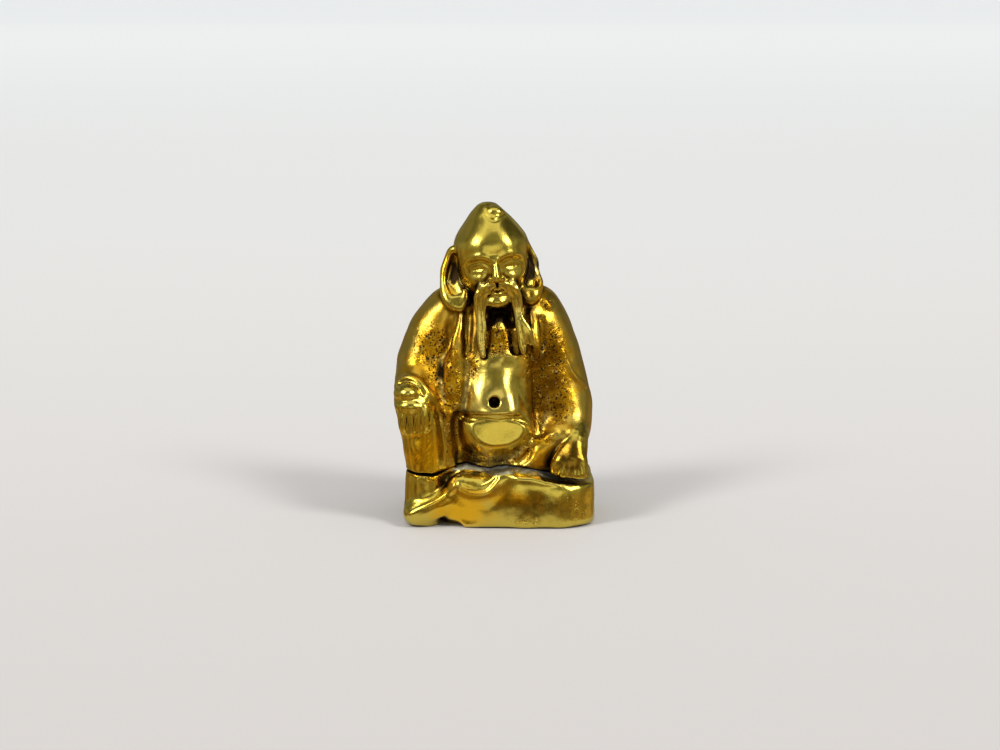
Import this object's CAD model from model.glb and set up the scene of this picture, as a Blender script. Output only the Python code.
"""Small cast brass sage, seated with one knee raised, rubbed bright on the high places and left
dark and pitted in the hollows. The forms are modelled like clay, as distances in a grid, and the
finished skin is then cut into the sections of the casting."""

import math

import bmesh
import bpy
import numpy as np
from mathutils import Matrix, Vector


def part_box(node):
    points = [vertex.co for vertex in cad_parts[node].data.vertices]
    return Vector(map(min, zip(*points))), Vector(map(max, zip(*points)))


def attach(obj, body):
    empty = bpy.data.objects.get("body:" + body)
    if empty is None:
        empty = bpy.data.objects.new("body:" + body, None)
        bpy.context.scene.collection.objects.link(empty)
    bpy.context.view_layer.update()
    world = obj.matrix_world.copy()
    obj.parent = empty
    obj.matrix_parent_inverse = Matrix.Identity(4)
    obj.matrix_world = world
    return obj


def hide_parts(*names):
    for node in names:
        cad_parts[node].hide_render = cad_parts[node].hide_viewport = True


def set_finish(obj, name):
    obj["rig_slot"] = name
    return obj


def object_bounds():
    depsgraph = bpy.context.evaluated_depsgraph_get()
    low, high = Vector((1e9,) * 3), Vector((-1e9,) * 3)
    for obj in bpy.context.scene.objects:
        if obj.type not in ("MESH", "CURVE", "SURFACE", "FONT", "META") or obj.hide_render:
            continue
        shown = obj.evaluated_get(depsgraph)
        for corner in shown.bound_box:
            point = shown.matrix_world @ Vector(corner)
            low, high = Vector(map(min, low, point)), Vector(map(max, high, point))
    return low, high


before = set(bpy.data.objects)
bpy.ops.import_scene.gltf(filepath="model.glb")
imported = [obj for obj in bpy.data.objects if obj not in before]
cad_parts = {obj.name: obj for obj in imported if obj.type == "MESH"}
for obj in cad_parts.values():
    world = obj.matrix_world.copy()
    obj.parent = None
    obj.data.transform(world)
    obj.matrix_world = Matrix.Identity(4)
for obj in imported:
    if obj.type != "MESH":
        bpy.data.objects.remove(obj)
cad_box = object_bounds()

MM = 0.001
FRONT = np.array((0.0, -1.0, 0.0))
UP = np.array((0.0, 0.0, 1.0))

# The clay is modelled in millimetres about the middle of the seat, which the frame places.
SEAT_HALF = 13.9
SEAT_BACK = 11.6
# Height of the soldered joint between the two castings
JOINT = 8.5
# Spacing of the grid, reach of a fillet round a form, and the distance that stands for empty space
GRAIN = 0.19
MARGIN = 2.6
FAR = 4.0
# Spans between two rows of a column, and how nearly a limb may run along the way that it faces
LEVEL_SPANS = 12
NEARLY_ALONG = 0.95
# Reach of a stroke in widths, and the step in grid spacings over which a slope is read
STROKE_REACH = 3
SLOPE_STEP = 0.6
# How often and how far, in grid spacings, a vertex is drawn onto the skin, and the least slope there
SETTLE_ROUNDS = 2
SETTLE_STEP = 0.4
LEAST_SLOPE = 0.2
# Least divisors
TINY = 1e-6
TINY_AREA = 1e-9

PIECES = (
    "seat", "left_leg", "right_foot", "robe_hem", "robe", "belly", "right_leg", "right_sleeve",
    "left_sleeve", "right_hand", "left_hand", "head", "right_ear", "left_ear",
    "right_moustache", "left_moustache", "topknot",
)
ROUGH_PIECES = ("seat", "robe_hem", "robe", "right_sleeve", "left_sleeve")


# Clay

def smooth_min(a, b, k):
    """The lesser of two distances, with a fillet of size k where they meet."""
    h = np.clip(0.5 + 0.5 * (b - a) / k, 0, 1)
    return b + (a - b) * h - k * h * (1 - h)


def smooth_max(a, b, k):
    return -smooth_min(-a, -b, k)


def resample(stations, count):
    """Smooth curve through the rows of a table."""
    s = np.asarray(stations, float)
    padded = np.vstack((2 * s[0] - s[1], s, 2 * s[-1] - s[-2]))
    t = np.linspace(0, len(s) - 1, count)
    i = np.minimum(t.astype(int), len(s) - 2)
    u = (t - i)[:, None]
    a, b, c, d = (padded[i + n] for n in range(4))
    return 0.5 * (2 * b + (c - a) * u + (2 * a - 5 * b + 4 * c - d) * u**2
                  + (3 * b - a - 3 * c + d) * u**3)


def weighed(grid, i, share):
    """The grid's value inside cell i, by trilinear weights; the grid repeats past its ends."""
    total = 0.0
    for corner in np.ndindex(2, 2, 2):
        weight = np.prod(np.where(corner, share, 1 - share), axis=1)
        at = (i + corner) % grid.shape
        total = total + weight * grid[at[:, 0], at[:, 1], at[:, 2]]
    return total


class Form:
    """A solid: its distance as a function of x, y and z, and the box that it fills."""

    def __init__(self, distance, low, high):
        self.distance = distance
        self.low = np.asarray(low, float)
        self.high = np.asarray(high, float)

    def joined(self, other, fillet):
        return Form(lambda x, y, z: smooth_min(self.distance(x, y, z), other.distance(x, y, z), fillet),
                    np.minimum(self.low, other.low), np.maximum(self.high, other.high))

    def between(self, bottom, top, edge=0.5, top_edge=None):
        """Cut off level at the bottom and the top."""
        def distance(x, y, z):
            d = self.distance(x, y, z)
            d = smooth_max(d, z - top, top_edge or edge)
            return smooth_max(d, bottom - z, edge)
        low, high = self.low.copy(), self.high.copy()
        low[2], high[2] = max(low[2], bottom), min(high[2], top)
        return Form(distance, low, high)


def limb(stations, facing=FRONT, power=2.0, spans=4):
    """Rows of x, y, z, half the width and half the thickness along facing; one width if round."""
    table = np.asarray(stations, float)
    if table.shape[1] == 4:
        table = np.hstack((table, table[:, 3:4]))
    table = resample(table, spans * (len(table) - 1) + 1)
    reach = table[:, 3:].max()
    facing = np.asarray(facing, float)

    def distance(x, y, z):
        best = None
        for a, b in zip(table[:-1], table[1:]):
            along = b[:3] - a[:3]
            length = np.linalg.norm(along)
            tangent = along / length
            ahead = facing if abs(facing @ tangent) < NEARLY_ALONG else UP
            out = ahead - (ahead @ tangent) * tangent
            out /= np.linalg.norm(out)
            across = np.cross(tangent, out)
            dx, dy, dz = x - a[0], y - a[1], z - a[2]
            run = dx * tangent[0] + dy * tangent[1] + dz * tangent[2]
            share = np.clip(run / length, 0, 1)
            wide = a[3] + (b[3] - a[3]) * share
            thick = a[4] + (b[4] - a[4]) * share
            small = np.minimum(wide, thick)
            side = (dx * across[0] + dy * across[1] + dz * across[2]) / wide
            rise = (dx * out[0] + dy * out[1] + dz * out[2]) / thick
            if power == 2.0:
                ring = side * side + rise * rise
            else:
                ring = (np.abs(side)**power + np.abs(rise)**power)**(2 / power)
            d = (np.sqrt(ring + ((run - share * length) / small)**2) - 1) * small
            best = d if best is None else np.minimum(best, d)
        return best

    return Form(distance, table[:, :3].min(0) - reach, table[:, :3].max(0) + reach)


def column(levels, power=2.0):
    """Rows of height, middle x, middle y, width to the right and left, depth in front and behind."""
    table = np.asarray(levels, float)
    if table.shape[1] == 6:
        table = np.insert(table, 4, table[:, 3], axis=1)
    table = resample(table, LEVEL_SPANS * (len(table) - 1) + 1)
    low = ((table[:, 1] - table[:, 3]).min(), (table[:, 2] - table[:, 5]).min(), table[0, 0])
    high = ((table[:, 1] + table[:, 4]).max(), (table[:, 2] + table[:, 6]).max(), table[-1, 0])

    def distance(x, y, z):
        mid_x, mid_y, right, left, front, back = (
            np.interp(z, table[:, 0], table[:, n]).astype(np.float32) for n in range(1, 7))
        dx, dy = x - mid_x, y - mid_y
        wide = np.where(dx < 0, right, left)
        depth = np.where(dy < 0, front, back)
        ring = np.abs(dx / wide)**power + np.abs(dy / depth)**power
        return (ring**(1 / power) - 1) * np.minimum(np.minimum(right, left), np.minimum(front, back))

    return Form(distance, low, high)


def ball(middle, radii):
    """An egg about its middle, with a radius along each axis."""
    middle, radii = np.asarray(middle, float), np.asarray(radii, float)

    def distance(x, y, z):
        p = [(q - m) / r for q, m, r in zip((x, y, z), middle, radii)]
        far = np.sqrt(p[0]**2 + p[1]**2 + p[2]**2)
        steep = np.sqrt((p[0] / radii[0])**2 + (p[1] / radii[1])**2 + (p[2] / radii[2])**2)
        return far * (far - 1) / np.maximum(steep, TINY)

    return Form(distance, middle - radii, middle + radii)


class Clay:
    """The skin's distance on a grid, and the piece that each grid point is nearest to."""

    def __init__(self, low, high, grain):
        self.low = np.asarray(low, float)
        self.grain = grain
        counts = [int(math.ceil((b - a) / grain)) + 1 for a, b in zip(low, high)]
        self.axes = [(a + grain * np.arange(n)).astype(np.float32) for a, n in zip(low, counts)]
        self.skin = np.full(counts, FAR, np.float32)
        self.near = np.full(counts, FAR, np.float32)
        self.owner = np.zeros(counts, np.int8)

    def window(self, low, high):
        cuts = []
        for axis, a, b in zip(self.axes, low, high):
            cuts.append(slice(int(np.searchsorted(axis, a)), int(np.searchsorted(axis, b))))
        return tuple(cuts)

    def spots(self, window):
        x, y, z = (axis[cut] for axis, cut in zip(self.axes, window))
        return x[:, None, None], y[None, :, None], z[None, None, :]

    def sample(self, form):
        window = self.window(form.low - MARGIN, form.high + MARGIN)
        return window, form.distance(*self.spots(window)).astype(np.float32)

    def add(self, piece, form, fillet):
        window, d = self.sample(form)
        self.skin[window] = smooth_min(self.skin[window], d, fillet)
        near = self.near[window]
        closer = d < near
        near[closer] = d[closer]
        self.owner[window][closer] = PIECES.index(piece)

    def carve(self, form, fillet):
        window, d = self.sample(form)
        self.skin[window] = smooth_max(self.skin[window], -d, fillet)

    def front_of(self, table):
        """Moves the rows of a table back or forth onto the front of the skin."""
        across = self.axes[1].astype(float)
        rows = table.copy()
        for row in rows:
            line = np.stack((np.full_like(across, row[0]), across, np.full_like(across, row[2])), 1)
            depth = self.read(self.skin, line)
            inside = np.flatnonzero(depth < 0)
            if len(inside) and inside[0]:
                n = inside[0]
                row[1] = across[n] + self.grain * depth[n] / (depth[n - 1] - depth[n])
        return rows

    def stroke(self, path, width, height, spans=6, front=True):
        """Raises the skin along a path, or presses it in where height is below zero. Rows of x, y, z
        and, where the stroke swells or fades, the share of its height."""
        table = np.array([(*row, 1.0)[:4] for row in path], float)
        table = resample(table, spans * (len(table) - 1) + 1)
        if front:
            table = self.front_of(table)
        reach = STROKE_REACH * width
        window = self.window(table[:, :3].min(0) - reach, table[:, :3].max(0) + reach)
        x, y, z = self.spots(window)
        lift = None
        for a, b in zip(table[:-1], table[1:]):
            along = b[:3] - a[:3]
            dx, dy, dz = x - a[0], y - a[1], z - a[2]
            run = (dx * along[0] + dy * along[1] + dz * along[2]) / (along @ along)
            share = np.clip(run, 0, 1)
            gap = ((dx - share * along[0])**2 + (dy - share * along[1])**2 + (dz - share * along[2])**2)
            swell = (a[3] + (b[3] - a[3]) * share) * np.exp(-gap / width**2)
            lift = swell if lift is None else np.maximum(lift, swell)
        self.skin[window] -= (height * lift).astype(np.float32)

    def flat(self, spot, normal, low, high, edge, fade):
        """Files a flat on the skin inside a box, running out towards the sides of the box."""
        window = self.window(low, high)
        x, y, z = self.spots(window)
        n = np.asarray(normal, float)
        n = n / np.linalg.norm(n)
        plane = ((x - spot[0]) * n[0] + (y - spot[1]) * n[1] + (z - spot[2]) * n[2]).astype(np.float32)
        share = np.clip(np.minimum(x - low[0], high[0] - x) / fade, 0, 1)
        share = share * np.clip(np.minimum(z - low[2], high[2] - z) / fade, 0, 1)
        skin = self.skin[window]
        self.skin[window] = skin + share.astype(np.float32) * (smooth_max(skin, plane, edge) - skin)

    def read(self, grid, points):
        """The grid's value at points."""
        p = (points - self.low) / self.grain
        i = np.clip(p.astype(int), 0, np.array(grid.shape) - 2)
        return weighed(grid, i, p - i)

    def slope(self, points):
        h = SLOPE_STEP * self.grain
        parts = []
        for axis in np.eye(3) * h:
            parts.append(self.read(self.skin, points + axis) - self.read(self.skin, points - axis))
        return np.stack(parts, 1) / (2 * h)


# Figure

CLAY_LOW = (-17.2, -13.2, -1.6)
CLAY_HIGH = (17.2, 13.4, 52.4)
COLLAR_TOP = 36.8
CHEST_TOP = 35.2
OVER_HANDS = 30
OVER_SLEEVES = 40
clay = Clay(CLAY_LOW, CLAY_HIGH, GRAIN)

# Seat
seat = column((
    (-1.5, 0, 0, 13.2, 7, 10.9),
    (1.2, 0, 0, 13.7, 7, 11.4),
    (5, 0, 0, 13.7, 7, 11.4),
    (9.5, 0, 0, 13.4, 7, 11),
), power=4.0).between(0, JOINT, edge=0.7, top_edge=0.35)
clay.add("seat", seat, fillet=0.4)

# Folded left leg
folded_leg = limb((
    (-4.5, -6.9, 3.6, 4.1, 4),
    (0.5, -7, 3.7, 4.3, 4.3),
    (6, -7, 3.7, 4.4, 4.3),
    (11.2, -6.7, 3.7, 4.4, 4.3),
    (11.55, -3, 3.7, 4.2, 4.4),
    (11.45, 2, 3.7, 4.15, 4.4),
    (10.9, 6, 3.7, 4, 4.4),
), facing=UP, power=5.5, spans=6).between(0, JOINT, edge=0.8, top_edge=0.5)
clay.add("left_leg", folded_leg, fillet=1.4)

# Planted right foot
ankle = limb((
    (-10.9, -6.9, 9.5, 2.9, 3.1),
    (-10.9, -6.9, 6, 3.1, 3.3),
    (-11.2, -6.9, 1.6, 3.2, 3.3),
), power=2.2)
toe = limb(((-12.3, -9.1, 2.1, 2), (-9.6, -9.2, 3, 2), (-6.6, -9, 4.6, 2)))
foot = ankle.joined(toe, fillet=0.7).between(0, JOINT, edge=0.5)
clay.add("right_foot", foot, fillet=0.7)

# Hem of the robe, sunk a little into the leg
HEM_SUNK = 0.75
hem_path = (
    (-6.2, -11, 6.6, 0.6), (-4.9, -11.2, 5.7, 0.75), (-2.9, -11.4, 5.25, 0.85),
    (-1, -11.4, 5.6, 0.9), (0.5, -11.2, 6.6, 0.85), (2, -10.7, 7.3, 0.6),
)
hem = limb([(x, y + HEM_SUNK, z, r) for x, y, z, r in hem_path])
clay.add("robe_hem", hem, fillet=1.5)

# Robe
trunk = column((
    (7.5, 0, 0, 13.1, 6.2, 10.8),
    (12, 0, 0, 12.7, 6.2, 10.7),
    (18, 0, 0, 12, 6.2, 10),
    (24, 0, 0, 11.2, 6, 9),
    (29, 0, 0, 10.2, 5.4, 7.8),
    (33, 0, 0, 8.6, 4.4, 6.5),
    (36, 0, 0, 6, 3, 4.9),
    (37.6, 0, 0, 4.4, 2.2, 4),
), power=2.4).between(JOINT, COLLAR_TOP, edge=0.35, top_edge=1.0)
right_lapel = limb((
    (-5.2, -4.4, 33, 0.5), (-5.6, -5.2, 30.5, 0.7), (-6.5, -5.9, 27, 0.85), (-7.2, -6.3, 23, 0.9),
    (-6.7, -6.5, 19.5, 0.9), (-7.2, -6.6, 15.5, 0.95), (-6.6, -6.6, 12, 0.9), (-6.9, -6.5, 8.6, 0.9),
))
left_lapel = limb((
    (5.6, -4, 33, 0.8, 0.6), (6.2, -4.8, 31.2, 1.2, 0.8), (6.5, -5.5, 28.8, 1.2, 0.8),
    (6.9, -5.7, 26.6, 0.7, 0.5),
))
robe = trunk.joined(right_lapel, fillet=1.0).joined(left_lapel, fillet=1.0)
clay.add("robe", robe, fillet=0.3)

# Bare chest and belly
chest = column((
    (7.5, 0.4, 0, 5.6, 5, 6, 4),
    (9, 0.4, 0, 5.8, 5.2, 7.2, 4),
    (10.8, 0.4, 0, 6, 5.4, 8.4, 4),
    (12.6, 0.4, 0, 6.2, 5.5, 8.9, 4),
    (14.6, 0.4, 0, 6.5, 5.6, 9, 4),
    (16.4, 0.5, 0, 6.9, 5.5, 9.2, 4),
    (17.8, 0.6, 0, 7.1, 5.3, 9.6, 4),
    (18.8, 0.7, 0, 7.1, 5.1, 9.5, 4),
    (21, 0.7, 0, 6.8, 4.9, 8.75, 4),
    (23.2, 0.6, 0, 6.2, 4.7, 7.9, 4),
    (25.6, 0.6, 0, 5.6, 4.5, 7, 4),
    (28.5, 0.5, 0, 4.6, 4.3, 6.1, 4),
    (31, 0.6, 0, 4.2, 4.2, 5.3, 4),
    (33, 0.6, 0, 4, 4, 4.4, 4),
    (35.6, 0.6, 0, 3.8, 3.8, 3.6, 4),
), power=2.4).between(JOINT, CHEST_TOP, edge=0.4, top_edge=0.8)
bulge = ball((0.5, -3.4, 15), radii=(7.6, 6.4, 4.8))
flank = limb(((-5.4, -4.6, 28, 1.2), (-5.9, -5.6, 24, 1.4), (-6.1, -6.2, 19, 1.3)))
belly = chest.joined(bulge, fillet=0.8).joined(flank, fillet=1.2)
clay.add("belly", belly.between(JOINT, CHEST_TOP, edge=0.4, top_edge=0.8), fillet=1.2)

# Raised right leg
shin = limb((
    (-10.9, -7, 7.5, 2.9, 3.1), (-11.2, -7.1, 12, 2.95, 3.1), (-12, -7.2, 16.5, 3, 3.1),
    (-12.6, -7.1, 19.6, 3, 3.2),
), power=2.5)
thigh = limb(((-12.4, -6, 19.4, 3.3), (-9.8, -1, 16.5, 3.9), (-7, 3.5, 12.5, 4)))
right_leg = shin.joined(thigh, fillet=0.8).between(JOINT, OVER_HANDS, edge=0.4)
clay.add("right_leg", right_leg, fillet=0.6)

# Sleeves, each an arm and the fold that hangs from its cuff
right_arm = limb((
    (-6.9, 0.4, 33.1, 3.9, 4.1), (-9.5, 0.2, 29.6, 4.2, 4.4), (-10.9, -0.8, 25.6, 4.4, 4.6),
    (-11.6, -2.6, 22.9, 4.1, 4.2), (-12.3, -4.6, 21.7, 3.5, 3.5),
), spans=9)
right_drape = limb((
    (-10.2, -5.6, 21.4, 1.7, 1.5), (-9, -5.9, 17.5, 2, 1.4), (-8.4, -6.1, 13, 2, 1.3),
    (-8.2, -6.2, 9.4, 1.9, 1.2),
))
clay.add("right_sleeve", right_arm.joined(right_drape, fillet=1.6), fillet=1.6)
left_arm = limb((
    (6.7, 0.4, 33.2, 3.9, 4.1), (8.6, 0.3, 29, 4.2, 4.4), (9.9, 0, 24, 4.4, 4.5),
    (11.1, -0.5, 19, 4.5, 4.6), (11.5, -2, 15.6, 4.1, 4.2), (11.5, -4.8, 13.4, 3.3, 3.3),
), spans=9)
left_drape = limb((
    (10.2, -5.9, 13.9, 2.4, 2.1), (7.8, -6.5, 11.8, 2.5, 2.1), (5.6, -7.1, 10, 2.2, 1.8),
    (3.6, -7.7, 8.9, 1.1, 0.9),
), facing=(0.3, -1.0, 0.5))
left_sleeve = left_arm.joined(left_drape, fillet=1.4).between(JOINT, OVER_SLEEVES, edge=0.4)
clay.add("left_sleeve", left_sleeve, fillet=1.6)

# The filed side of the shin
clay.flat(spot=(-10.2, -9.95, 12), normal=(0.22, -1, 0.085),
          low=(-11.6, -13, 8), high=(-7, -7, 16.4), edge=0.4, fade=1.0)

# Right hand, laid over the knee: rows of place across and height of the finger's end
RIGHT_FINGERS = ((-14.2, 16.2), (-13.1, 15.6), (-12, 15.6), (-10.95, 16.4))
back_of_hand = ball((-13.5, -8.2, 21.3), radii=(2.25, 2.6, 1.6))
knuckles = ball((-13.1, -8.9, 19.3), radii=(2.45, 2.3, 1.5))
right_hand = back_of_hand.joined(knuckles, fillet=0.35)
for side, end in RIGHT_FINGERS:
    finger = limb((
        (side * 0.985 - 0.2, -9.7, 19.2, 0.85), (side, -10, 18, 0.85), (side, -9.95, 17, 0.8),
        (side + 0.1, -9.9, end, 0.75), (side + 0.15, -9.7, end - 0.6, 0.62),
    ))
    right_hand = right_hand.joined(finger, fillet=0.4)
right_thumb = limb(((-11.2, -7.6, 20, 0.8), (-10.3, -8.4, 18.6, 0.7), (-10.1, -8.9, 17.2, 0.6)))
clay.add("right_hand", right_hand.joined(right_thumb, fillet=0.4), fillet=0.3)

# Left hand, resting on the folded leg
LEFT_FINGERS = ((13.8, 9.2), (12.75, 8.9), (11.7, 8.9), (10.65, 9.1))
LEFT_HAND_LOW = JOINT - 0.2
left_hand = limb((
    (13.2, -5, 14.9, 1.5, 1.5), (13, -7.2, 13.2, 1.9, 1.8), (12.2, -9, 10.9, 2.4, 1.6),
    (11.8, -9.6, 9.5, 2.5, 1.2),
), facing=(0.0, -1.0, 0.4))
for side, end in LEFT_FINGERS:
    finger = limb(((side, -9.5, 10.6, 0.7), (side, -10.2, end, 0.66)))
    left_hand = left_hand.joined(finger, fillet=0.7)
left_thumb = limb(((11.6, -7.8, 12.2, 1.2), (10.4, -8.8, 10.8, 1.2), (9.6, -9.4, 9.2, 0.8)))
left_hand = left_hand.joined(left_thumb, fillet=0.8)
clay.add("left_hand", left_hand.between(LEFT_HAND_LOW, OVER_HANDS, edge=0.3), fillet=0.35)

# Head, turned a little and leaning to its right
HEAD = np.array((0.25, -0.7, 34.5))
TURN = math.radians(5)
LEAN = math.radians(-5)
turned = np.array(((math.cos(TURN), -math.sin(TURN), 0), (math.sin(TURN), math.cos(TURN), 0), (0, 0, 1)))
leaned = np.array(((math.cos(LEAN), 0, math.sin(LEAN)), (0, 1, 0), (-math.sin(LEAN), 0, math.cos(LEAN))))
POSE = leaned @ turned


def on_head(points):
    """Places a table's first three columns, given from the chin, on the head."""
    table = np.asarray(points, float).copy()
    table[:, :3] = table[:, :3] @ POSE.T + HEAD
    return table


def posed(form):
    """A form that is given from the chin, placed on the head."""
    ends = (form.low, form.high)
    corners = on_head([[ends[n][i] for i, n in enumerate(c)] for c in np.ndindex(2, 2, 2)])

    def distance(x, y, z):
        d = [q - h for q, h in zip((x, y, z), HEAD)]
        local = [d[0] * POSE[0, i] + d[1] * POSE[1, i] + d[2] * POSE[2, i] for i in range(3)]
        return form.distance(*local)

    return Form(distance, corners.min(0), corners.max(0))


skull = column((
    (-5, 0, 0.4, 3, 3, 3),
    (-2, 0, 0.4, 3, 3.2, 3.2),
    (-0.6, 0, 0, 3, 4.4, 3.5),
    (0.6, 0, 0, 3.7, 5.3, 4),
    (2.4, 0, 0, 4.7, 5.6, 4.8),
    (4.4, 0, 0, 5.4, 5.7, 5.6),
    (6.6, 0, 0, 5.75, 5.9, 6.2),
    (8.4, 0, 0, 5.9, 6.2, 6.4),
    (10, 0, 0, 5.7, 6, 6.2),
    (11.4, 0, 0, 5.05, 5.4, 5.65),
    (12.8, 0, 0, 4.1, 4.5, 4.75),
    (14, 0, 0, 3.15, 3.5, 3.7),
    (15, 0, 0, 2.2, 2.5, 2.6),
    (15.7, 0, 0, 1.35, 1.5, 1.6),
    (16.1, 0, 0, 0.5, 0.6, 0.6),
), power=2.1).between(-4.5, 15.95, edge=0.5)
NOSTRIL_OUT = 0.75
nose = limb(((0, -5.7, 7.4, 0.55, 0.7), (0, -6, 6, 0.6, 0.9), (0, -6.5, 4.6, 0.8, 1)))
for side in (NOSTRIL_OUT, -NOSTRIL_OUT):
    nose = nose.joined(ball((side, -6.2, 4.3), radii=(0.55, 0.7, 0.5)), fillet=0.3)
chin = ball((0, -4.7, 0.6), radii=(1.8, 1.5, 1.1))
clay.add("head", posed(skull.joined(nose, fillet=0.6).joined(chin, fillet=0.8)), fillet=0.6)

# Ears: a rim that loops from the temple to the lobe, over a thin plate
ear_rim = (
    (5.2, -1.2, 8.2, 0.6), (5.7, -0.8, 9, 0.65), (6.4, -0.4, 8.6, 0.7), (7.2, -0.4, 7, 0.75),
    (7.8, -0.8, 5.2, 0.8), (8, -1.5, 3.4, 0.85), (7.7, -2.3, 1.9, 0.9), (6.9, -3, 0.6, 1),
    (5.8, -3.3, 0.2, 1), (5.1, -3.2, 1.2, 0.85), (4.9, -2.8, 2.4, 0.6),
)
ear_plate = (
    (5.8, -0.2, 8.2, 0.8, 0.5), (6.3, -0.2, 5.6, 1.5, 0.6), (6.4, -0.9, 3.2, 1.6, 0.7),
    (6.2, -2, 1.4, 1.3, 0.8),
)
ear_lobe = (6.2, -2.9, 1)
for name, spread in (("right_ear", -1.0), ("left_ear", 0.85)):
    rim = limb(on_head([(spread * x, *rest) for x, *rest in ear_rim]))
    plate = limb(on_head([(spread * x, *rest) for x, *rest in ear_plate]))
    lobe = ball(on_head([(spread * ear_lobe[0], *ear_lobe[1:])])[0], radii=(1.4, 1, 1.35))
    clay.add(name, rim.joined(plate, fillet=0.3).joined(lobe, fillet=0.5), fillet=0.35)

# The dark gap under the chin, the throat in it, and the grooves that set the moustache off the chest
for hollow in (
    ball((-0.8, -5.4, 32.5), radii=(1.15, 2.4, 1.35)),
    ball((2.35, -5.4, 32.4), radii=(1, 2.4, 1.3)),
    ball((0.8, -5.7, 33.3), radii=(1.9, 2.4, 0.75)),
):
    clay.carve(hollow, fillet=0.35)
throat = ball((0.8, -4.1, 30.7), radii=(1.2, 1.4, 1.4))
clay.add("belly", throat, fillet=0.6)
for groove in (
    ((-1.4, -4.9, 32.8), (-1.5, -5.9, 30.8), (-1.6, -6.6, 28.4, 0.6)),
    ((-1.2, -4.9, 32.6), (-1.3, -5.6, 31.2, 0.8), (-1.4, -6, 29.8, 0.2)),
    ((2.8, -4.9, 32.8), (2.9, -5.9, 30.6), (3.2, -6.6, 27.6, 0.6)),
    ((-4, -5.2, 33.5, 0.6), (-4.1, -5.8, 31, 1), (-4.3, -6.6, 27.2, 0.8)),
    ((4.9, -5, 34, 0.6), (5, -5.6, 31, 1), (5.6, -6.4, 27.2, 0.8)),
):
    clay.stroke(groove, width=0.5, height=-1.1)

# Moustache strands; the left one ends in two tails
strand_path = (
    (0.5, -6, 3.5, 0.5, 0.4), (1.7, -5.7, 3.2, 0.8, 0.45), (2.7, -5.2, 1.9, 1, 0.45),
    (3, -5.1, -0.4, 0.95, 0.45), (3, -5.5, -3, 0.85, 0.5), (3.2, -5.85, -5.6, 0.75, 0.5),
    (3.2, -6.1, -7.4, 0.4, 0.35),
)
tail = limb(on_head((
    (3.4, -5.5, -2.4, 0.6, 0.45), (4.1, -5.8, -4.4, 0.65, 0.45), (4.5, -6, -6.2, 0.35, 0.3),
)), power=3.0)
right_strand, left_strand = (
    limb(on_head([(side * x, *rest) for x, *rest in strand_path]), power=3.0) for side in (-1, 1))
clay.add("right_moustache", right_strand, fillet=0.2)
clay.add("left_moustache", left_strand.joined(tail, fillet=0.2), fillet=0.2)

# Topknot, with a line under it
topknot = ball((0.05, -2.4, 48.9), radii=(1.6, 1.4, 1.15))
clay.add("topknot", topknot, fillet=0.15)
knot_line = ((-1.5, -3.2, 48.7, 0.5), (0.05, -3.9, 47.85, 1), (1.6, -3.2, 48.7, 0.5))
clay.stroke(knot_line, width=0.3, height=-0.25)

# Strokes of the modelling tool on the head's left side, from the chin: width, height and path
FACE_STROKES = {
    "eye_socket": (1.1, -0.75, ((2, -5.7, 6.4), (3.2, -5.2, 6.3))),
    "brow": (0.5, 0.38, (
        (0.75, -6.1, 7.5, 0.6), (2.2, -5.9, 8.1, 1), (3.8, -5, 7.7, 0.8), (4.7, -4, 7, 0.3))),
    "eyeball": (0.75, 0.55, ((1.9, -5.6, 6.3), (3, -5.2, 6.3))),
    "upper_lid": (0.26, 0.3, (
        (1.3, -5.6, 6.2, 0.4), (2.3, -5.8, 6.75, 1), (3.4, -5.2, 6.5, 1), (4.1, -4.6, 6, 0.4))),
    "lower_lid": (0.24, 0.2, ((1.4, -5.6, 5.95, 0.4), (2.4, -5.7, 5.65, 1), (3.5, -5.1, 5.75, 0.8))),
    "eye_line": (0.16, -0.22, ((1.5, -5.8, 6), (2.4, -5.9, 6.18), (3.7, -5.2, 6))),
    "cheek": (1.1, 0.3, ((2.7, -5.4, 4.5), (3.4, -4.9, 4.2))),
    "cheek_line": (0.3, -0.22, ((1.1, -6, 4.9), (1.9, -5.7, 4.1), (3, -5.2, 3))),
    "upper_lip": (0.28, 0.3, ((0, -5.9, 2.75), (0.8, -5.85, 2.72), (1.4, -5.5, 2.5))),
    "lower_lip": (0.3, 0.32, ((0, -5.9, 2.1), (0.7, -5.8, 2.12), (1.2, -5.5, 2.35))),
    "mouth_line": (0.17, -0.3, ((0, -6.1, 2.45), (0.8, -6, 2.42), (1.5, -5.6, 2.4))),
    "strand_line": (0.14, -0.22, (
        (1.9, -6.3, 3.1, 0.3), (2.8, -5.8, 1.6, 1), (3, -5.7, -0.8, 1), (3.1, -6.1, -3.4, 1),
        (3.4, -6.6, -6.4, 1))),
}
EAR_STROKE = (0.6, -0.9, ((5.6, -1.2, 7.6), (6.6, -1, 5.6), (6.8, -1.6, 4), (6.3, -2.4, 2.6)))


def mark(side, width, height, path, front=True):
    """One stroke on one side of the head."""
    on_side = [(*on_head([(side * x, y, z)])[0], *rest) for x, y, z, *rest in path]
    clay.stroke(on_side, width, height, front=front)


for side in (-1, 1):
    for stroke in FACE_STROKES.values():
        mark(side, *stroke)
    mark(side, *EAR_STROKE, front=False)

# Hollows in the front of the sleeves
right_hollow = limb(((-8, -6.4, 31.4, 1), (-10, -6.9, 28, 1.9), (-10.4, -7.8, 25.6, 1.5)))
left_hollow = limb((
    (8, -6.3, 31.4, 1), (9.9, -6.9, 27, 1.8), (11, -7.2, 22.6, 1.9), (10.8, -7.4, 18.6, 1.7),
))
clay.carve(right_hollow, fillet=1.2)
clay.carve(left_hollow, fillet=1.2)

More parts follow.
